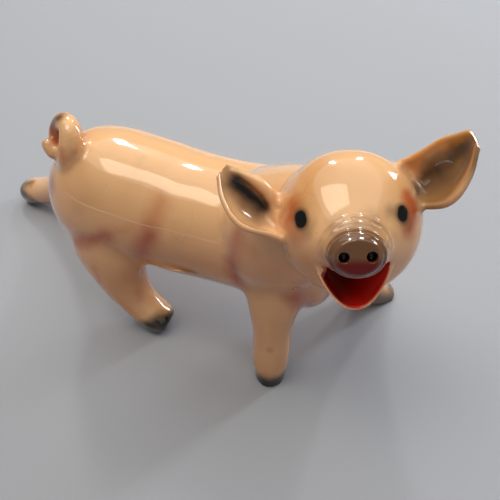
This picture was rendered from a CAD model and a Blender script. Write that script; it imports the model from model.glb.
# %% [markdown]
# # A glazed pottery piglet
#
# The figurine is slip-cast in nine pieces. While they are leather-hard they are luted together, the joins
# are wiped smooth with a wet sponge, the colours go on with an airbrush and a fine brush, and a thick clear
# glaze covers it all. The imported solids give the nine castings. This script gives them what the wiping,
# the paint and the glaze add. It starts with the solids as a fixed frame and keeps their box for the end.

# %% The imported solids
import math

import bmesh
import bpy
import numpy as np
from mathutils import Matrix, Vector, noise
from mathutils.bvhtree import BVHTree


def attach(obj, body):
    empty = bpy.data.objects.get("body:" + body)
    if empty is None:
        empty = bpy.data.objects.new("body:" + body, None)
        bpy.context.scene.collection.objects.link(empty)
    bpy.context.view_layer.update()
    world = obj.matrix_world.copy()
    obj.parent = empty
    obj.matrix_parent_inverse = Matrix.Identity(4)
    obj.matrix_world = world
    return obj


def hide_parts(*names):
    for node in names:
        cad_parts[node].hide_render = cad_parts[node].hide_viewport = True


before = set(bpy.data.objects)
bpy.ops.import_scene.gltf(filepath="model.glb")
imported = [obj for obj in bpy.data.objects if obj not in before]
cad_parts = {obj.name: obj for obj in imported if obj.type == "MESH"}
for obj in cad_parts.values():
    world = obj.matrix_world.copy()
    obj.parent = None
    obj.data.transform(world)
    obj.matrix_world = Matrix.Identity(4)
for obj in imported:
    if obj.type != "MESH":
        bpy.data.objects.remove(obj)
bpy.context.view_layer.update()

MM = 0.001
print("castings:", sorted(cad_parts))

# %% [markdown]
# ## Looking through the camera
#
# The photograph was taken from close by and from high up. One camera, found by laying the solids over the
# photograph, gives its view again. It also finds where paint goes: a ray through a pixel of the photograph
# lands on the solids, so an eye or a blush sits on the skin that carries it, from whatever side it is seen.

# %% The camera
camera_turn, camera_height, camera_distance, camera_view = 22.7, 50.0, 0.193, 46.0
aim = Vector((0.0136, 0.0231, 0.0))
turn, height = math.radians(camera_turn), math.radians(camera_height)
front = Vector((math.sin(turn), -math.cos(turn), 0.0))
across = Vector((math.cos(turn), math.sin(turn), 0.0))
towards = front * math.cos(height) + Vector((0.0, 0.0, math.sin(height)))
camera_data = bpy.data.cameras.new("camera")
camera_data.sensor_fit = "HORIZONTAL"
camera_data.angle = math.radians(camera_view)
camera_data.clip_start = 0.005
camera = bpy.data.objects.new("camera", camera_data)
camera.location = aim + towards * camera_distance
camera.rotation_euler = (-towards).to_track_quat("-Z", "Y").to_euler()
bpy.context.scene.collection.objects.link(camera)
bpy.context.scene.camera = camera
print("camera at", [round(part / MM, 1) for part in camera.location], "mm")

# %% Where a pixel lands
photo_side = 500


def tree_of(mesh):
    """A search tree of a mesh's faces, for rays and for nearest points."""
    return BVHTree.FromPolygons([v.co for v in mesh.vertices], [f.vertices for f in mesh.polygons])


trees = {name: tree_of(node.data) for name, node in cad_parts.items()}


def seen(x, y):
    """The point in mm under a pixel of the square photograph."""
    middle = photo_side / 2
    reach = middle / math.tan(math.radians(camera_view / 2))
    ray = (across * (x - middle) + towards.cross(across) * (middle - y) - towards * reach).normalized()
    hits = [hit for hit in (tree.ray_cast(camera.location, ray) for tree in trees.values()) if hit[0]]
    if not hits:
        raise ValueError(f"nothing is seen at {x}, {y}")
    return min(hits, key=lambda hit: hit[3])[0] / MM


brow = (345, 190)
print("the brow is at", [round(part, 1) for part in seen(*brow)])

# %% [markdown]
# ## The head's own frame
#
# Most detail is on the head, which is turned, raised and rolled. Its snout, mouth and wrinkles are easier
# to place from inside it: x to the piglet's left, y to the top of the skull, z out of the snout.

# %% Turn the head's frame
head_middle = Vector((48.59, -8.79, 60.68))
head_yaw, head_lift, head_roll = -73.0, -37.0, 6.0
ahead = (Matrix.Rotation(math.radians(head_yaw), 3, "Z") @ Matrix.Rotation(math.radians(head_lift), 3, "Y")
         @ Matrix.Rotation(math.radians(head_roll), 3, "X"))
head_turn = Matrix((ahead.col[1], ahead.col[2], ahead.col[0])).transposed()


def on_head(x, y, z):
    """A point in mm, from one given in the head's own frame."""
    return head_middle + head_turn @ Vector((x, y, z))


print("the snout points to", [round(part, 2) for part in ahead.col[0]])

# %% [markdown]
# ## From castings to one wiped skin
#
# Booleans leave a knife-sharp crease where two castings meet, and pottery never has one. A voxel remesh
# unites overlapping closed meshes into one even skin, and a smooth brush that works only near a join then
# gives the crease the soft, glaze-filled look. The castings only touch, so each is swollen by a tenth of a
# millimetre first, and the skin is drawn in by as much afterwards.

# %% Helpers for meshes
merge_within, cut_within = 2e-6, 1e-7


def add_object(name, mesh):
    """Puts a mesh into the scene as an object at the origin."""
    made = bpy.data.objects.new(name, mesh)
    bpy.context.scene.collection.objects.link(made)
    return made


def settled(source):
    """Applies an object's modifiers: a plain mesh takes the place of its own."""
    graph = bpy.context.evaluated_depsgraph_get()
    mesh = bpy.data.meshes.new_from_object(source.evaluated_get(graph))
    source.modifiers.clear()
    source.data = mesh
    return source


def mesh_from(name, shape):
    """Turns a bmesh into a mesh and frees it."""
    mesh = bpy.data.meshes.new(name)
    shape.to_mesh(mesh)
    shape.free()
    return mesh


def points_of(mesh):
    """The vertices of a mesh as an array of places."""
    places = np.empty(len(mesh.vertices) * 3, np.float32)
    mesh.vertices.foreach_get("co", places)
    return places.reshape(-1, 3).astype(float)


def normals_of(mesh):
    """The outward direction at each vertex."""
    directions = np.empty(len(mesh.vertices) * 3, np.float32)
    mesh.vertex_normals.foreach_get("vector", directions)
    return directions.reshape(-1, 3).astype(float)


def set_points(mesh, places):
    """Moves the vertices of a mesh to new places."""
    mesh.vertices.foreach_set("co", places.astype(np.float32).ravel())
    mesh.update()


def swell(mesh, by):
    """Moves every vertex out along its normal."""
    set_points(mesh, points_of(mesh) + by * normals_of(mesh))
    return mesh


def casting(name, keep=None):
    """A merged copy of a casting, cut off behind a plane if one is given as its point and direction."""
    shape = bmesh.new()
    shape.from_mesh(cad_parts[name].data)
    bmesh.ops.remove_doubles(shape, verts=shape.verts, dist=merge_within)
    if keep:
        everything = shape.verts[:] + shape.edges[:] + shape.faces[:]
        cut = bmesh.ops.bisect_plane(shape, geom=everything, dist=cut_within, plane_co=keep[0],
                                     plane_no=keep[1], clear_inner=True)
        rim = [part for part in cut["geom_cut"] if isinstance(part, bmesh.types.BMEdge)]
        bmesh.ops.triangle_fill(shape, edges=rim, use_beauty=True)
        bmesh.ops.recalc_face_normals(shape, faces=shape.faces)
    return mesh_from(name + "_copy", shape)


def ball(name, middle, radius, sides):
    """A ball of clay, with its middle and radius in mm."""
    shape = bmesh.new()
    bmesh.ops.create_uvsphere(shape, u_segments=sides, v_segments=sides // 2, radius=radius * MM)
    mesh = mesh_from(name, shape)
    mesh.transform(Matrix.Translation(middle * MM))
    return mesh


# %% Unite castings into one skin
overlap = 0.12 * MM


def largest_shell(mesh):
    """Keeps the shell that holds the highest vertex: the hollow inside of a casting goes."""
    shape = bmesh.new()
    shape.from_mesh(mesh)
    start = max(shape.verts, key=lambda v: v.co.z)
    kept, front_line = {start}, [start]
    while front_line:
        around = {edge.other_vert(vertex) for vertex in front_line for edge in vertex.link_edges}
        front_line = list(around - kept)
        kept |= around
    bmesh.ops.delete(shape, geom=[v for v in shape.verts if v not in kept], context="VERTS")
    shape.to_mesh(mesh)
    shape.free()
    return mesh


def united(name, meshes, voxel):
    """One closed skin round overlapping closed meshes."""
    shape = bmesh.new()
    for mesh in meshes:
        shape.from_mesh(mesh)
    skin = add_object(name, mesh_from(name, shape))
    remesh = skin.modifiers.new("remesh", "REMESH")
    remesh.mode = "VOXEL"
    remesh.voxel_size = voxel
    settled(skin)
    before = len(skin.data.vertices)
    largest_shell(skin.data)
    swell(skin.data, -overlap)
    print(name, "vertices:", before, "of which outside:", len(skin.data.vertices))
    return skin


# %% [markdown]
# ## The ears, bent while the clay is soft
#
# Ears are luted on last and are bent a few degrees by hand, so no two figurines from one mould are alike.
# Each ear turns a little about its root, in the plane of the photograph, and shrinks a little towards it.

# %% Bend the ears
ear_left_root, ear_right_root = (405, 184), (280, 224)
ear_left_bend, ear_right_bend = -4.5, -6.5
ear_size, ear_push = 0.965, 0.5


def bent(name, root, angle):
    """A casting turned about the line of sight through a pixel at its root, and scaled from there."""
    mesh = casting(name)
    pivot = seen(*root)
    seated = Matrix.Translation((head_middle - pivot).normalized() * ear_push * MM)
    root_at = Matrix.Translation(pivot * MM)
    mesh.transform(seated @ root_at @ Matrix.Rotation(math.radians(angle), 4, towards)
                   @ Matrix.Scale(ear_size, 4) @ root_at.inverted())
    trees[name] = tree_of(mesh)
    return mesh


ears = [bent("ear_left", ear_left_root, ear_left_bend), bent("ear_right", ear_right_root, ear_right_bend)]
print("ear tips at", [round(max(points_of(ear)[:, 2]) / MM, 1) for ear in ears], "mm above the floor")

# %% [markdown]
# ## Wiped joins
#
# How soft a join is depends on its two castings: a leg flows into the barrel, an ear root is tight. Each
# vertex looks for the casting that it lies on and for the nearest other one. The closer that one is, the
# more the smooth modifier moves the vertex.

# %% Soften the joins
join_reach = {"leg_front_right": 4.5, "leg_front_left": 4.5, "leg_rear_right": 4.5, "leg_rear_left": 5.0,
              "head": 2.2, "ear_left": 1.6, "ear_right": 1.6, "tail": 1.6, "torso": 9.0}
search_reach = 5.0 * MM
weight_levels = 20


def smoothed(skin, passes, group=""):
    """Runs a smooth modifier over a skin, or over its vertex group where one is named."""
    smooth = skin.modifiers.new("smooth", "SMOOTH")
    smooth.factor = 0.5
    smooth.iterations = passes
    smooth.vertex_group = group
    settled(skin)


def soften(skin, names, passes):
    """Smooths a skin near the joins between the named castings, and keeps how near it is as an attribute."""
    places = points_of(skin.data)
    weights = np.zeros(len(places))
    for row, place in enumerate(places):
        near = []
        for name in names:
            found = trees[name].find_nearest(Vector(place), search_reach)
            if found[0]:
                near.append((found[3], name))
        if len(near) > 1:
            (_, own), (apart, other) = sorted(near)[:2]
            reach = min(join_reach[own], join_reach[other]) * MM
            weights[row] = max(0.0, 1.0 - apart / reach)
    weights = weights * weights * (3 - 2 * weights)
    group = skin.vertex_groups.new(name="join")
    for level in range(1, weight_levels + 1):
        rows = np.nonzero(np.round(weights * weight_levels) == level)[0]
        group.add([int(row) for row in rows], level / weight_levels, "REPLACE")
    smoothed(skin, passes, group.name)
    skin.vertex_groups.clear()
    skin.data.attributes.new("join", "FLOAT", "POINT").data.foreach_set("value", weights.astype(np.float32))
    print(skin.name, "vertices near a join:", int(np.count_nonzero(weights)))


# %% [markdown]
# ## Node trees, written as sums
#
# Both the clay that is rolled and the paint are made with nodes. A small class holds one output of a node
# and lets Python's own signs add the Math nodes, so a formula reads as a formula. A second class adds any
# other node, and a third grows a mesh from a geometry node tree with named inputs.

# %% A small hand for building node trees
class Wire:
    """One output of a node. Python's operators add Math nodes behind it."""

    def __init__(self, tree, socket):
        self.tree, self.socket = tree, socket

    def __add__(self, other):
        return self.tree.maths("ADD", self, other)

    def __sub__(self, other):
        return self.tree.maths("SUBTRACT", self, other)

    def __rsub__(self, other):
        return self.tree.maths("SUBTRACT", other, self)

    def __mul__(self, other):
        return self.tree.maths("MULTIPLY", self, other)

    def __truediv__(self, other):
        return self.tree.maths("DIVIDE", self, other)

    __radd__ = __add__
    __rmul__ = __mul__


class Tree:
    """A node tree whose nodes are added by one method."""

    def __init__(self, tree):
        self.tree = tree

    def node(self, kind, settings=None, sockets=None, output=0):
        """Adds a node: its settings first, then its sockets' values or links. Returns one output."""
        made = self.tree.nodes.new(kind)
        for key, value in (settings or {}).items():
            setattr(made, key, value)
        for key, value in (sockets or {}).items():
            if isinstance(value, Wire):
                self.tree.links.new(value.socket, made.inputs[key])
            else:
                made.inputs[key].default_value = value
        return Wire(self, made.outputs[output])

    def maths(self, operation, first, second=0.0, clamp=False):
        """A Math node."""
        settings = {"operation": operation, "use_clamp": clamp}
        return self.node("ShaderNodeMath", settings, {0: first, 1: second})


# %% Clay that grows from a tree
clay = bpy.data.materials.new("clay")


class ClayTree(Tree):
    """A geometry node tree with named inputs, which sweeps a coil of clay."""

    def __init__(self, name, inputs):
        super().__init__(bpy.data.node_groups.new(name, "GeometryNodeTree"))
        for label, (kind, _) in inputs.items():
            self.tree.interface.new_socket(label, in_out="INPUT", socket_type=kind)
        self.tree.interface.new_socket("Geometry", in_out="OUTPUT", socket_type="NodeSocketGeometry")
        self.start = self.tree.nodes.new("NodeGroupInput")
        self.end = self.tree.nodes.new("NodeGroupOutput")
        self.name, self.inputs = name, inputs

    def given(self, label):
        """The value of a named input."""
        return Wire(self, self.start.outputs[label])

    def grow(self, line, radius, sides):
        """Sweeps a circle along a line and returns the plain mesh that it makes, as an object."""
        ring = self.node("GeometryNodeCurvePrimitiveCircle", sockets={"Resolution": sides, "Radius": 1.0})
        tube = self.node("GeometryNodeCurveToMesh", sockets={
            "Curve": line, "Profile Curve": ring, "Fill Caps": True, "Scale": radius})
        tube = self.node("GeometryNodeRealizeInstances", sockets={"Geometry": tube})
        tube = self.node("GeometryNodeSetMaterial", sockets={"Geometry": tube, "Material": clay})
        self.tree.links.new(tube.socket, self.end.inputs[0])
        made = add_object(self.name, bpy.data.meshes.new(self.name))
        modifier = made.modifiers.new(self.name, "NODES")
        modifier.node_group = self.tree
        for item in self.tree.interface.items_tree:
            if item.in_out == "INPUT":
                modifier[item.identifier] = self.inputs[item.name][1]
        settled(made)
        print(self.name, "faces:", len(made.data.polygons))
        return made


# %% [markdown]
# ## The tail, a rolled coil
#
# A tail like this is rolled as a tapered coil of clay and curled round a finger. Its line can't be written
# as a neat formula, so a few points give it, and a Geometry Nodes tree does the rest: it runs a smooth
# spline through them, narrows it towards the tip, rounds its end and sweeps a circle along it. The same
# tree rolls the thick front rim of the right ear, with other points and sizes.

# %% The tree that rolls a coil of clay
coil_steps = 110
dome_rate, first_step, smallest_share = 18.0, 0.002, 0.03


def rolled(name, points, root, tip, bulge, sides):
    """A round coil through points in mm: its radius runs from root to tip, and swells in its middle."""
    route_data = bpy.data.curves.new(name + "_route", "CURVE")
    route_data.dimensions = "3D"
    spline = route_data.splines.new("POLY")
    spline.points.add(len(points) - 1)
    for knot, point in zip(spline.points, points):
        knot.co = (*(Vector(point) * MM), 1)
    route = add_object(name + "_route", route_data)
    coil = ClayTree(name, {
        "Route": ("NodeSocketObject", route), "Root radius": ("NodeSocketFloat", root * MM),
        "Tip radius": ("NodeSocketFloat", tip * MM), "Bulge": ("NodeSocketFloat", bulge),
        "Steps": ("NodeSocketInt", coil_steps), "Sides": ("NodeSocketInt", sides)})
    line = coil.node("GeometryNodeObjectInfo", sockets={"Object": coil.given("Route")}, output=4)
    line = coil.node("GeometryNodeCurveSplineType", {"spline_type": "CATMULL_ROM"}, {"Curve": line})
    line = coil.node("GeometryNodeResampleCurve", sockets={"Curve": line, "Count": coil.given("Steps")})
    share = coil.node("GeometryNodeSplineParameter")
    radius = coil.node("ShaderNodeMix", {"data_type": "FLOAT"},
                       {0: share, 2: coil.given("Root radius"), 3: coil.given("Tip radius")})
    radius = radius * (coil.maths("SINE", share * math.pi) * coil.given("Bulge") + 1.0)
    to_end = coil.maths("MINIMUM", 1.0 - share, share + first_step)
    to_end = coil.node("ShaderNodeClamp", sockets={"Value": to_end * dome_rate})
    dome = coil.maths("SQRT", to_end * (2.0 - to_end))
    made = coil.grow(line, radius * coil.maths("MAXIMUM", dome, smallest_share), coil.given("Sides"))
    bpy.data.objects.remove(route)
    return made


# %% Roll the tail and the ear's front rim
tail_foot = Vector((-26.17, -2.29, 52.73))
tail_frame = Matrix((front, (0, 0, 1), -across)).transposed()
tail_curl = 8.8
tail_root, tail_tip, tail_bulge = 3.2, 1.7, 0.12
tail_points = [(0.464, -0.685, -0.180), (0.465, -0.242, -0.182), (0.335, 0.134, -0.284),
               (0.016, 0.373, -0.250), (-0.330, 0.350, 0.000), (-0.349, 0.026, 0.239),
               (-0.091, -0.250, 0.273), (0.250, -0.284, 0.284), (0.170, -0.114, 0.420),
               (0.018, 0.074, 0.523)]
tail_route = [tail_foot + tail_frame @ Vector(point) * tail_curl for point in tail_points]
tail_coil = rolled("tail_coil", tail_route, tail_root, tail_tip, tail_bulge, sides=32)
rim_pixels = [(229, 170), (239, 174), (250, 179), (261, 186), (269, 196), (273, 209), (276, 224)]
rim_tip, rim_root, rim_bulge = 0.5, 0.8, 1.4
ear_rim = rolled("ear_rim", [seen(*pixel) for pixel in rim_pixels], rim_tip, rim_root, rim_bulge, sides=20)

# %% [markdown]
# ## Wrinkles behind the snout
#
# Three folds of skin run round the snout, from one mouth corner over the top to the other. Each is an arc
# that is laid on the muzzle and swept as a thin tube, which the remesh then melts into the skin. The tree
# repeats one arc with a wider and wider radius further back, and a proximity node snaps it to the head.

# %% Lay the wrinkles
fold_gap, fold_steps, fold_sides = 10.0, 56, 12
fold_start, fold_drop = math.radians(-14), 3.0 * MM
fold_roundness, thinnest_share = 0.45, 0.05
head_copy = add_object("head_copy", casting("head"))
folds = ClayTree("wrinkles", {
    "Head": ("NodeSocketObject", head_copy),
    "Folds": ("NodeSocketInt", 3),
    "First place": ("NodeSocketFloat", 16.2 * MM),
    "Spacing": ("NodeSocketFloat", 1.15 * MM),
    "Half width": ("NodeSocketFloat", 6.4 * MM),
    "Half height": ("NodeSocketFloat", 5.6 * MM),
    "Growth": ("NodeSocketFloat", 0.55 * MM),
    "Thickness": ("NodeSocketFloat", 0.42 * MM),
    "Sweep": ("NodeSocketFloat", math.radians(208)),
})
arc = folds.node("GeometryNodeCurvePrimitiveLine", sockets={"Start": (0, 0, 0), "End": (0, 0, 1)})
arc = folds.node("GeometryNodeResampleCurve", sockets={"Curve": arc, "Count": fold_steps})
rows = folds.node("GeometryNodeMeshLine", {"mode": "OFFSET"}, {
    "Count": folds.given("Folds"), "Start Location": (0, 0, 0), "Offset": (fold_gap, 0, 0)})
rows = folds.node("GeometryNodeInstanceOnPoints", sockets={"Points": rows, "Instance": arc})
rows = folds.node("GeometryNodeRealizeInstances", sockets={"Geometry": rows})
share = folds.node("GeometryNodeSplineParameter")
number = folds.node("ShaderNodeSeparateXYZ", sockets={0: folds.node("GeometryNodeInputPosition")}) / fold_gap
angle = share * folds.given("Sweep") + fold_start
wide = number * folds.given("Growth") + folds.given("Half width")
tall = number * folds.given("Growth") + folds.given("Half height")
spot = folds.node("ShaderNodeCombineXYZ", sockets={
    0: wide * folds.maths("COSINE", angle), 1: tall * folds.maths("SINE", angle) - fold_drop,
    2: folds.given("First place") - number * folds.given("Spacing")})
spot = folds.node("ShaderNodeVectorRotate", {"rotation_type": "EULER_XYZ"},
                  {"Vector": spot, "Rotation": head_turn.to_euler()})
spot = folds.node("ShaderNodeVectorMath", {"operation": "ADD"}, {0: spot, 1: head_middle * MM})
muzzle = folds.node("GeometryNodeObjectInfo", sockets={"Object": folds.given("Head")}, output=4)
spot = folds.node("GeometryNodeProximity", {"target_element": "FACES"},
                  {"Geometry": muzzle, "Sample Position": spot})
arc = folds.node("GeometryNodeSetPosition", sockets={"Geometry": rows, "Position": spot})
lift = folds.maths("POWER", folds.maths("SINE", share * math.pi), fold_roundness)
thickness = folds.given("Thickness") * folds.maths("MAXIMUM", lift, thinnest_share)
wrinkles = folds.grow(arc, thickness, fold_sides)

# %% [markdown]
# ## The head with its ears
#
# The lips, the nostrils and the ear rims are about a millimetre thick, so the head gets finer voxels than
# the barrel. A stub of the neck goes into it, and its skin sinks under the barrel's a few millimetres
# further back, so that the join between head and neck is wiped as well and no seam shows. Fingers and a
# sponge leave a skin slightly uneven, which shows in the reflections, so both skins waver a little.

# %% A waver for a hand-wiped skin
waver_depth, waver_pitch, still_height = 0.30, 11.0, 3


def waver(skin):
    """Lets a skin sink unevenly above the soles."""
    places, directions = points_of(skin.data), normals_of(skin.data)
    sway = np.array([noise.noise(Vector(place) / (waver_pitch * MM)) for place in places]) * 0.5 + 0.5
    sway *= np.clip(places[:, 2] / (still_height * MM), 0, 1)
    set_points(skin.data, places - directions * sway[:, None] * waver_depth * MM)
    print(skin.name, "sinks by", round(float(sway.mean()) * waver_depth, 2), "mm on average")


# %% Make the head
head_voxel, head_passes, head_polish = 0.33 * MM, 60, 2
neck_middle = Vector((27.84, 0.39, 39.6))
stub_length = 18.5
sink_depth, sink_start, on_torso = 0.45, 3.0, 0.4 * MM
mouth_corner = [(on_head(-6.2, -6.2, 10.4), 1.35), (on_head(-5.7, -7.5, 10.7), 1.15)]
neck_way = (head_middle - neck_middle).normalized()
stub = casting("torso", keep=((head_middle - stub_length * neck_way) * MM, neck_way))
swollen = [swell(mesh, overlap) for mesh in [casting("head"), *ears, stub, wrinkles.data, ear_rim.data]]
pads = [ball("pad", middle, radius, sides=24) for middle, radius in mouth_corner]
head = united("head_skin", swollen + pads, head_voxel)
soften(head, ["head", "ear_left", "ear_right", "torso"], head_passes)
smoothed(head, head_polish)
places, directions = points_of(head.data), normals_of(head.data)
for row, place in enumerate(places):
    apart = trees["head"].find_nearest(Vector(place))[3] / MM
    if apart > sink_start and trees["torso"].find_nearest(Vector(place))[3] < on_torso:
        places[row] -= directions[row] * sink_depth * MM * min((apart - sink_start) / sink_start, 1.0)
set_points(head.data, places)
waver(head)

# %% [markdown]
# ## The barrel with its legs and tail
#
# The barrel, the four legs and the coil of the tail become the second skin. The casting has a vent under
# its belly, and through it the skin would turn inside and line the hollow. A ball just behind its edge
# stops that, as a plug of slip does. The front left leg steps out a little further than its casting, by a
# slide that grows towards the toe.

# %% Make the barrel with legs and tail
body_voxel, body_passes, body_polish = 0.57 * MM, 70, 4
vent_middle, beside_vent, up = Vector((1.8, 1.2, 0)), Vector((2.7, 0, 0)), Vector((0, 0, 1))
plug_radius, plug_depth = 2.6, 3.6
toe_slide, slide_height, slide_curve = 3.2, 22, 1.4
belly = trees["torso"].ray_cast((vent_middle + beside_vent) * MM, up)[0].z / MM
plug = ball("plug", vent_middle + up * (belly + plug_depth), plug_radius, sides=32)
legs = ["leg_front_right", "leg_front_left", "leg_rear_right", "leg_rear_left"]
leg_meshes = {leg: casting(leg) for leg in legs}
stepping = points_of(leg_meshes["leg_front_left"])
stepping[:, 0] += toe_slide * MM * np.clip(1 - stepping[:, 2] / (slide_height * MM), 0, 1) ** slide_curve
set_points(leg_meshes["leg_front_left"], stepping)
swollen = [swell(mesh, overlap) for mesh in [casting("torso"), tail_coil.data, *leg_meshes.values()]]
body = united("body_skin", swollen + [plug], body_voxel)
soften(body, ["torso", "tail"] + legs, body_passes)
smoothed(body, body_polish)
waver(body)
for used in (head_copy, wrinkles, ear_rim, tail_coil):
    bpy.data.objects.remove(used)

# %% [markdown]
# ## Paint and glaze
#
# Each finish is a node material that reads Object coordinates, turned to millimetres. A stroke of the
# airbrush is the space within reach of a short line, with a soft edge, and a brush mark is the same with a
# crisp edge, so the eyes, the blush and the dark toes are all made by one method. Sprayed edges are never
# even, so soft strokes read a place that noise has moved a little.

# %% A hand for finishes
wander_size, wander_scale = 2.4, 0.22


class Finish(Tree):
    """A glazed finish: a material that measures places in millimetres."""

    def __init__(self, name):
        self.material = bpy.data.materials.new(name)
        self.material.use_nodes = True
        super().__init__(self.material.node_tree)
        self.shader = self.tree.nodes["Principled BSDF"]
        self.facing = self.node("ShaderNodeNewGeometry", output="Normal")
        self.place = self.vectors("SCALE", self.node("ShaderNodeTexCoord", output="Object"), Scale=1 / MM)
        self.wander = self.moved(wander_scale, wander_size)

    def vectors(self, operation, first, second=None, output=0, **named):
        """A Vector Math node."""
        sockets = {0: first, **named}
        if second is not None:
            sockets[1] = second
        return self.node("ShaderNodeVectorMath", {"operation": operation}, sockets, output)

    def moved(self, scale, distance):
        """The place, moved by noise of a scale per millimetre, by up to a distance in mm each way."""
        drift = self.node("ShaderNodeTexNoise", None, {"Vector": self.place, "Scale": scale}, "Color")
        return self.vectors("ADD", self.place, self.vectors("SCALE", drift, Scale=distance))

    def fade(self, value, start, end, first=0.0, last=1.0):
        """Runs softly from first to last while a value runs from start to end."""
        return self.node("ShaderNodeMapRange", {"interpolation_type": "SMOOTHSTEP"}, {
            "Value": value, "From Min": start, "From Max": end, "To Min": first, "To Max": last})

    def noise(self, scale, detail):
        """Soft noise from 0 to 1, of a scale per millimetre."""
        return self.node("ShaderNodeTexNoise", None, {
            "Vector": self.place, "Scale": scale, "Detail": detail, "Roughness": 0.55})

    def stroke(self, start, end, reach, edge, place=None):
        """The space within reach of a line, in mm: 1 inside, and 0 past its soft edge."""
        line = end - start
        apart = self.vectors("SUBTRACT", place or self.place, start)
        share = self.vectors("DOT_PRODUCT", apart, line / line.length_squared, output="Value")
        share = self.maths("ADD", share, 0.0, clamp=True)
        foot = self.vectors("SCALE", line, Scale=share)
        away = self.vectors("DISTANCE", apart, foot, output="Value")
        return self.fade(away, reach - edge / 2, reach + edge / 2, 1.0, 0.0)

    def mix(self, share, first, second):
        """Mixes two colours."""
        return self.node("ShaderNodeMix", {"data_type": "RGBA"}, {0: share, 6: first, 7: second}, 2)


def colour(code):
    """A linear colour from its hex code."""
    parts = [int(code[i:i + 2], 16) / 255 for i in (0, 2, 4)]
    return tuple(p / 12.92 if p <= 0.04045 else ((p + 0.055) / 1.055) ** 2.4 for p in parts) + (1.0,)


# %% [markdown]
# ## The glaze that both skins share
#
# Under the glaze the pottery is cream where light falls on it and a deeper peach below, as if it had been
# sprayed from above, with greyer clouds and a browner line where glaze pools in a join. Over it lies the
# clear glaze: a strong coat, a little rippled, with a few fine crazing cracks and dark specks.

# %% The bare colour
cream, peach, ash, pooled = colour("F5C28C"), colour("CF8048"), colour("C59464"), colour("B98758")
shade_scale, shade_span, deepest = 0.05, (-0.20, 1.20), 0.92
cloud_scale, cloud_span, cloudiest = 0.09, (0.5, 0.8), 0.40
pool_span, pool_strength = (0.25, 1.0), 0.30
glaze = {"Coat Weight": 1.0, "Coat Roughness": 0.035, "Coat IOR": 1.52, "IOR": 1.45,
         "Specular IOR Level": 0.15}


def glazed(name):
    """A clear-glazed cream finish, ready for its paint. Returns it with its bare colour."""
    finish = Finish(name)
    for label, value in glaze.items():
        finish.shader.inputs[label].default_value = value
    upwards = finish.node("ShaderNodeSeparateXYZ", None, {0: finish.facing}, "Z")
    shade = finish.fade(upwards + finish.noise(shade_scale, 2.0) * 0.5, *shade_span, deepest, 0.0)
    clouds = finish.fade(finish.noise(cloud_scale, 3.0), *cloud_span, 0.0, cloudiest)
    bare = finish.mix(clouds, finish.mix(shade, cream, peach), ash)
    joins = finish.node("ShaderNodeAttribute", {"attribute_name": "join"}, None, "Fac")
    return finish, finish.mix(finish.fade(joins, *pool_span, 0.0, pool_strength), bare, pooled)


# %% Strokes, cracks and specks
crack_brown, speck_brown = colour("6B4A32"), colour("7A5335")
crack_scale, crack_span, crack_strength = 0.055, (0.0014, 0.0036), 0.26
bend_scale, bend_size = 0.06, 9.0
patch_scale, patch_span = 0.06, (0.50, 0.62)
speck_scale, speck_span, speck_strength = 0.33, (0.035, 0.055), 0.35
smoothest, roughest = 0.16, 0.24
ripple_scale, ripple_depth, ripple_strength = 0.16, 0.12 * MM, 0.25


def brushed(finish, paint, strokes, only=1.0):
    """Adds named strokes: each has its two ends, its reach and edge in mm, its strength and its colour."""
    for start, end, reach, edge, strength, tone in strokes.values():
        sharp = edge < 1.0
        shift = Vector((0, 0, 0)) if sharp else Vector((1, 1, 1)) * wander_size / 2
        mask = finish.stroke(Vector(start) + shift, Vector(end) + shift, reach, edge,
                             finish.place if sharp else finish.wander)
        paint = finish.mix(mask * strength * only, paint, tone)
    return paint


def finished(finish, paint):
    """Adds crazing, specks and the glaze's faint ripple, and links the colour."""
    cracks = finish.node("ShaderNodeTexVoronoi", {"feature": "DISTANCE_TO_EDGE"},
                         {"Vector": finish.moved(bend_scale, bend_size), "Scale": crack_scale})
    line = finish.fade(cracks, *crack_span, 1.0, 0.0)
    patchy = finish.fade(finish.noise(patch_scale, 1.0), *patch_span)
    paint = finish.mix(line * patchy * crack_strength, paint, crack_brown)
    grains = finish.node("ShaderNodeTexVoronoi", {"feature": "F1"},
                         {"Vector": finish.place, "Scale": speck_scale})
    paint = finish.mix(finish.fade(grains, *speck_span, speck_strength, 0.0), paint, speck_brown)
    roughness = finish.fade(finish.noise(0.25, 3.0), 0.3, 0.7, smoothest, roughest)
    ripple = finish.node("ShaderNodeBump", None, {
        "Strength": ripple_strength, "Distance": ripple_depth, "Height": finish.noise(ripple_scale, 2.0)})
    for label, value in {"Base Color": paint, "Roughness": roughness, "Normal": ripple}.items():
        finish.tree.links.new(value.socket, finish.shader.inputs[label])
    print(finish.material.name, "nodes:", len(finish.tree.nodes))
    return finish.material


# %% [markdown]
# ## Paint on the body
#
# Rusty blush was sprayed into the folds of the flank, the shoulder and the chest, and the left side, which
# the photograph doesn't show, gets the same. The hooves and the curl of the tail are dipped in sooty brown.
# Ends that show in the photograph are given by their pixels, and the others by their places in mm.

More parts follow.
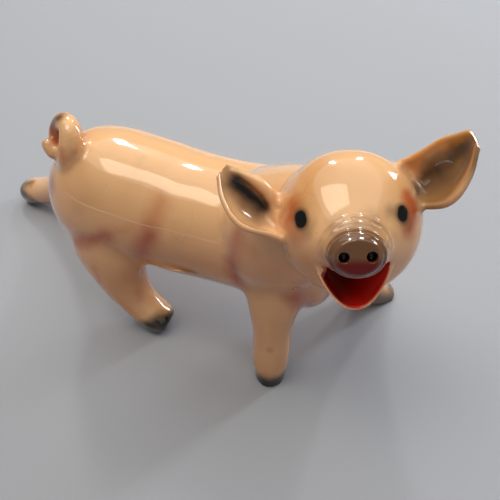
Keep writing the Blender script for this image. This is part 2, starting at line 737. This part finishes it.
# %% Paint the body
blush, russet, rust, bark = colour("BE5F32"), colour("A83A0C"), colour("C04E22"), colour("5A3620")
soot, peat, ginger = colour("120904"), colour("4A3528"), colour("D0763A")
sand, brick = colour("C98F5E"), colour("A5522A")
body_finish, paint = glazed("glazed_body")
paint = brushed(body_finish, paint, {
    "flank, high": (seen(160, 203), seen(152, 222), 1.6, 7.5, 0.60, blush),
    "flank, low": (seen(149, 236), seen(140, 256), 2.0, 6.5, 0.90, russet),
    "haunch fold, back": (seen(73, 242), seen(106, 237), 1.5, 5.6, 0.90, russet),
    "haunch fold, front": (seen(106, 236), seen(130, 228), 0.6, 6.5, 0.50, blush),
    "hock": (seen(94, 270), seen(99, 284), 0.6, 3.8, 0.80, ginger),
    "rear shin": (seen(138, 292), seen(140, 300), 0.6, 3.0, 0.30, blush),
    "under the tail": (seen(50, 184), (-31, -2, 38), 2.4, 5.0, 0.80, russet),
    "shoulder, high": (seen(238, 232), seen(234, 260), 1.6, 6.0, 0.65, russet),
    "shoulder, low": (seen(232, 266), seen(238, 284), 1.6, 5.0, 0.90, russet),
    "shoulder, front": (seen(244, 244), seen(252, 252), 1.4, 5.0, 0.35, blush),
    "chest": (seen(295, 296), seen(306, 308), 2.0, 6.0, 0.90, russet),
    "front shin": (seen(271, 350), seen(271, 351), 0.7, 1.8, 0.50, blush),
    "rump": (seen(80, 165), seen(88, 200), 3.0, 8.0, 0.25, sand),
    "left haunch": ((-30, 6, 34), (-32, 14, 28), 2.6, 7.0, 0.70, blush),
    "left flank": ((10, 16, 46), (4, 18, 34), 2.0, 7.0, 0.65, blush),
    "left shoulder": ((28, 16, 50), (28, 18, 36), 1.8, 6.5, 0.60, blush),
})
paint = brushed(body_finish, paint, {
    "front right sole": ((36.2, -16.8, 0.0), (36.2, -16.4, 0.5), 5.4, 3.8, 0.98, soot),
    "front right toe": (seen(262, 383), seen(274, 384), 1.8, 4.4, 0.98, soot),
    "front left sole": ((58.0, 23.0, -3.0), (57.0, 22.0, -2.0), 6.8, 4.6, 0.92, soot),
    "front left toe": (seen(377, 287), (57.0, 18.0, 3.0), 2.8, 5.0, 0.85, peat),
    "rear right sole": ((4.5, -13.6, 1.5), (-2.0, -13.6, -1.5), 5.6, 3.2, 0.98, soot),
    "rear right toe": (seen(167, 320), seen(149, 327), 2.5, 3.8, 0.98, soot),
    "rear left sole": ((-70.5, 15.4, 4.0), (-66.0, 15.6, -1.5), 5.6, 3.2, 0.98, soot),
    "rear left toe": (seen(21, 192), seen(38, 203), 1.6, 3.6, 0.96, soot),
    "rear left cleft": (seen(24, 184), seen(31, 183), 1.4, 3.2, 0.75, bark),
    "tail, top of the curl": (seen(52, 124), seen(60, 117), 1.5, 2.4, 0.90, bark),
    "tail, inside the curl": (seen(54, 130), seen(56, 142), 1.8, 2.8, 0.90, brick),
    "tail, foot": (seen(62, 158), seen(60, 150), 1.0, 2.4, 0.50, rust),
    "tail, tip": (seen(43, 137), seen(44, 140), 0.5, 1.6, 0.40, bark),
})
body_paint = finished(body_finish, paint)

# %% [markdown]
# ## Paint on the head
#
# The snout's disc, the wide open mouth and its lip have edges that belong to the head's own shape, so their
# masks are worked out in the head's frame: an ellipse for the disc, and for the mouth the rounded triangle
# that the lip follows, behind the plane of the lip. Red belongs on skin that faces the middle of the mouth,
# which keeps it off the chin.

# %% Masks in the head's frame
disc_half_width, disc_half_height, disc_drop = 5.35, 4.35, 3.3
disc_span, disc_front = (1.06, 1.34), (14.2, 16.0)
lip_drop, lip_out, lip_tilt = 5.7, 10.6, math.radians(17)
mouth_half_width, mouth_depth, mouth_curve = 6.5, 8.9, 1.6
mouth_span, lip_span, top_span, back_span = (1.02, 1.14), (0.1, 0.7), (-0.5, 0.2), (2.0, 3.0)
hollow_span = (-0.4, 0.4)
mouth_middle = on_head(0, -9.2, 12.4)
head_finish, paint = glazed("glazed_head")
local = head_finish.node("ShaderNodeMapping", {"vector_type": "TEXTURE"}, {
    "Vector": head_finish.place, "Location": head_middle, "Rotation": head_turn.to_euler()})
split = head_finish.node("ShaderNodeSeparateXYZ", None, {0: local})
head_x, head_y, head_z = (Wire(head_finish, output) for output in split.socket.node.outputs)
disc_x, disc_y = head_x / disc_half_width, (head_y + disc_drop) / disc_half_height
disc_edge = head_finish.maths("SQRT", disc_x * disc_x + disc_y * disc_y)
disc = head_finish.fade(disc_edge, *disc_span, 1.0, 0.0) * head_finish.fade(head_z, *disc_front)
lip_y = (head_y + lip_drop) * math.cos(lip_tilt) - (head_z - lip_out) * math.sin(lip_tilt)
lip_z = (head_y + lip_drop) * math.sin(lip_tilt) + (head_z - lip_out) * math.cos(lip_tilt)
mouth_x = head_finish.maths("ABSOLUTE", head_x / mouth_half_width)
mouth_y = head_finish.maths("MAXIMUM", lip_y / -mouth_depth, 0.0)
mouth_edge = (head_finish.maths("POWER", mouth_x, mouth_curve)
              + head_finish.maths("POWER", mouth_y, mouth_curve))
mouth = (head_finish.fade(mouth_edge, *mouth_span, 1.0, 0.0) * head_finish.fade(lip_z, *lip_span, 1.0, 0.0)
         * head_finish.fade(lip_y, *top_span, 1.0, 0.0) * head_finish.fade(head_z, *back_span))
from_middle = head_finish.vectors("SUBTRACT", head_finish.place, mouth_middle)
hollow = head_finish.vectors("DOT_PRODUCT", from_middle, head_finish.facing, "Value")
mouth = mouth * head_finish.fade(hollow, *hollow_span, 1.0, 0.0)
print("the middle of the mouth is at", [round(part, 1) for part in mouth_middle])

# %% Blush and shadow on the face
taupe, tan, honey = colour("6A452B"), colour("BE7C48"), colour("DD9448")
face = {
    "right eye, blush": (seen(293, 203), seen(291, 216), 1.8, 3.8, 1.00, rust),
    "right eye, shadow": (seen(298, 208), seen(303, 228), 1.9, 3.2, 0.50, bark),
    "right eye, below": (seen(291, 230), seen(294, 238), 1.2, 3.8, 0.60, rust),
    "left eye, above": (seen(409, 199), seen(412, 206), 1.4, 3.0, 1.00, rust),
    "left eye, blush": (seen(412, 208), seen(410, 228), 1.6, 4.0, 0.85, rust),
    "left eye, shadow": (seen(393, 212), seen(404, 220), 1.4, 3.0, 0.50, bark),
    "right cheek, by the mouth": (seen(306, 262), seen(308, 264), 0.8, 3.4, 0.45, blush),
    "right cheek": (seen(292, 240), seen(300, 262), 2.6, 8.0, 0.50, tan),
    "right temple": (seen(308, 176), seen(302, 198), 3.4, 9.0, 0.55, honey),
    "left temple": (seen(398, 182), seen(404, 196), 1.0, 6.0, 0.45, honey),
    "snout, top": (seen(336, 228), seen(374, 222), 1.8, 4.6, 0.55, taupe),
    "snout, side": (seen(322, 244), seen(326, 264), 0.8, 3.0, 0.45, taupe),
    "right smile line, low": (seen(322, 273), seen(317, 264), 0.10, 0.6, 0.55, bark),
    "right smile line, high": (seen(317, 264), seen(313, 258), 0.02, 0.5, 0.45, bark),
    "left smile line, low": (seen(387, 268), seen(391, 259), 0.10, 0.6, 0.55, bark),
    "left smile line, high": (seen(391, 259), seen(393, 252), 0.02, 0.5, 0.45, bark),
}
paint = brushed(head_finish, paint, face)
print("strokes on the face:", len(face))

# %% Eyes, snout and mouth
umber, ink, pitch, plum = colour("3A2213"), colour("040201"), colour("080403"), colour("640803")
wine, red, rosy = colour("5A0F08"), colour("F0241C"), colour("C08A72")
crisp, nostril_length = 0.35, 0.8
halo_reach, halo_edge, halo_strength = 0.4, 1.5, 0.80
disc_strength, plum_span, plum_strength = 0.94, (-4.8, -3.0), 0.98
rim_inside, rim_outside, rim_front = (1.10, 1.2), (1.24, 1.36), (15.0, 16.0)
rim_low, rim_strength = (-7.4, -6.2), 0.75
shadow_slant, shadow_span, shadow_strength = 0.45, (-0.5, 6.0), 0.92
eyes = {"right": ((299.8, 217.4), (300.6, 221.0), 1.32), "left": ((403.3, 211.4), (402.9, 215.4), 1.18)}
nostrils = {"right": (342.6, 259.0, 1.15), "left": (371.4, 254.8, 1.08)}
for top, bottom, reach in eyes.values():
    halo = head_finish.stroke(seen(*top), seen(*bottom), reach + halo_reach, halo_edge)
    paint = head_finish.mix(halo * halo_strength, paint, umber)
    paint = head_finish.mix(head_finish.stroke(seen(*top), seen(*bottom), reach, crisp), paint, ink)
paint = head_finish.mix(disc * disc_strength, paint, taupe)
paint = head_finish.mix(disc * head_finish.fade(head_y, *plum_span, plum_strength, 0.0), paint, plum)
rim = head_finish.fade(disc_edge, *rim_inside) * head_finish.fade(disc_edge, *rim_outside, 1.0, 0.0)
rim = rim * head_finish.fade(head_y, *rim_low, rim_strength, 0.0) * head_finish.fade(head_z, *rim_front)
paint = head_finish.mix(rim, paint, rosy)
for x, y, reach in nostrils.values():
    hole = head_finish.stroke(seen(x, y), seen(x, y + nostril_length), reach, crisp)
    paint = head_finish.mix(hole, paint, pitch)
paint = head_finish.mix(mouth, paint, red)
shadow = mouth * head_finish.fade(head_x - lip_y * shadow_slant, *shadow_span, shadow_strength, 0.0)
paint = head_finish.mix(shadow, paint, wine)
print("eyes and nostrils painted:", len(eyes) + len(nostrils))

# %% [markdown]
# ## Paint inside the ears
#
# The hollows of the ears are airbrushed in dark olive and brown. The spray would also colour the backs of
# these thin ears, so a mask lets it land only on skin that faces the side it was sprayed from. A straw
# line runs along the upper rim of the left ear.

# %% Paint the ears
facing_span = (0.0, 0.25)
inner = head_finish.vectors("DOT_PRODUCT", head_finish.facing, towards, "Value")
inner = head_finish.fade(inner, *facing_span)
olive, cocoa, straw, fawn = colour("80592C"), colour("3C220D"), colour("E89A40"), colour("B08E66")
walnut, coal = colour("4E301A"), colour("0A0503")
paint = brushed(head_finish, paint, {
    "left ear, hollow": (seen(434, 196), seen(468, 158), 3.6, 4.6, 0.85, olive),
    "left ear, fold": (seen(428, 176), seen(464, 146), 2.0, 4.6, 0.88, cocoa),
    "left ear, root": (seen(418, 192), seen(432, 170), 1.6, 3.6, 0.70, cocoa),
    "right ear, hollow": (seen(228, 186), seen(254, 220), 3.0, 5.0, 0.55, fawn),
    "right ear, fold": (seen(234, 184), seen(260, 211), 2.0, 4.4, 0.85, walnut),
    "right ear, crease": (seen(237, 181), seen(264, 206), 1.2, 2.0, 0.98, coal),
    "right ear, lower edge": (seen(244, 222), seen(262, 226), 0.2, 1.4, 0.50, rust),
}, inner)
paint = brushed(head_finish, paint, {
    "left ear, rim by the root": (seen(413, 157), seen(442, 144), 0.9, 2.0, 0.80, straw),
    "left ear, rim by the tip": (seen(442, 144), seen(471, 131), 0.9, 2.0, 0.70, straw),
})
head_paint = finished(head_finish, paint)

# %% [markdown]
# ## Two skins for nine castings
#
# After the firing the figurine is one piece, so both skins ride on the one body of the part, and each
# stands for the castings that it was made of. Both have the same slot, because both are glazed pottery.

# %% Dress the pieces
for piece, finish, nodes in [(head, head_paint, ["head", "ear_left", "ear_right"]),
                             (body, body_paint, ["torso", "tail"] + legs)]:
    piece.data.materials.clear()
    piece.data.materials.append(finish)
    piece.data.shade_smooth()
    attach(piece, "root")
    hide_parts(*nodes)
    print(piece.name, "triangles:", sum(len(face.vertices) - 2 for face in piece.data.polygons))

# %% [markdown]
# ## The floor and the light
#
# A glossy glaze shows every lamp, so the lamps have the shapes and places that the reflections ask for:
# three small windows behind, a soft ceiling, and a long low strip for the line along the belly. A wide,
# soft sun gives the even light of a room. The world is paler to the camera than it is to the figurine.

# %% The floor
floor_half = 2.0
corners = [(-floor_half, -floor_half, 0), (floor_half, -floor_half, 0), (floor_half, floor_half, 0),
           (-floor_half, floor_half, 0)]
floor_mesh = bpy.data.meshes.new("floor")
floor_mesh.from_pydata(corners, [], [(0, 1, 2, 3)])
floor = add_object("floor", floor_mesh)
floor_paint = bpy.data.materials.new("floor_paint")
floor_paint.use_nodes = True
floor_shader = floor_paint.node_tree.nodes["Principled BSDF"]
floor_shader.inputs["Base Color"].default_value = colour("A6ABB3")
floor_shader.inputs["Roughness"].default_value = 0.7
floor_mesh.materials.append(floor_paint)
print("floor side in m:", 2 * floor_half)

# %% The lamps
figurine_middle = Vector((0.01, 0, 0.045))
lamps = {
    "window_left": ((-0.46, 0.62, 0.64), 0.7, 0.06, 0.12, 0.9, (1.0, 0.97, 0.92)),
    "window_middle": ((-0.05, 0.80, 0.56), 0.7, 0.05, 0.10, 0.7, (1.0, 0.97, 0.93)),
    "window_right": ((0.50, 0.83, 0.20), 0.7, 0.10, 0.50, 2.6, (0.97, 0.98, 1.0)),
    "ceiling": ((-0.30, -0.10, 0.95), 0.9, 0.30, 0.46, 2.1, (1.0, 0.84, 0.64)),
    "front_fill": ((0.90, -0.45, 0.30), 1.1, 0.8, 0.6, 0.8, (1.0, 0.96, 0.92)),
    "strip": ((-0.25, -0.96, 0.0), 2.6, 4.6, 0.07, 1.5, (0.94, 0.97, 1.0)),
}
for name, (way, distance, width, tall, watts, tint) in lamps.items():
    lamp_data = bpy.data.lights.new(name, "AREA")
    lamp_data.shape = "RECTANGLE"
    lamp_data.size, lamp_data.size_y = width, tall
    lamp_data.energy, lamp_data.color = watts, tint
    lamp = bpy.data.objects.new(name, lamp_data)
    lamp.location = figurine_middle + Vector(way).normalized() * distance
    lamp.rotation_euler = Vector(way).to_track_quat("Z", "Y").to_euler()
    lamp.visible_camera = False
    bpy.context.scene.collection.objects.link(lamp)
sky_data = bpy.data.lights.new("sky", "SUN")
sky_data.energy, sky_data.angle, sky_data.color = 1.35, math.radians(75), (1.0, 0.97, 0.93)
sky = bpy.data.objects.new("sky", sky_data)
sky.rotation_euler = Vector((-0.2, 0.25, 0.95)).to_track_quat("Z", "Y").to_euler()
bpy.context.scene.collection.objects.link(sky)
print("lamps:", [*lamps, "sky"])

# %% The room
room_tint = (0.80, 0.84, 0.90, 1)
room_light, room_seen = 0.20, 0.62
world = bpy.data.worlds.new("room")
world.use_nodes = True
room = Tree(world.node_tree)
level = room.node("ShaderNodeMapRange", None, {
    "Value": room.node("ShaderNodeLightPath", output="Is Camera Ray"),
    "To Min": room_light, "To Max": room_seen})
background = world.node_tree.nodes["Background"]
background.inputs["Color"].default_value = room_tint
room.tree.links.new(level.socket, background.inputs["Strength"])
bpy.context.scene.world = world
bpy.context.scene.view_settings.view_transform = "Standard"
print("the room is", round(room_seen / room_light, 1), "times as bright to the camera as to the figurine")
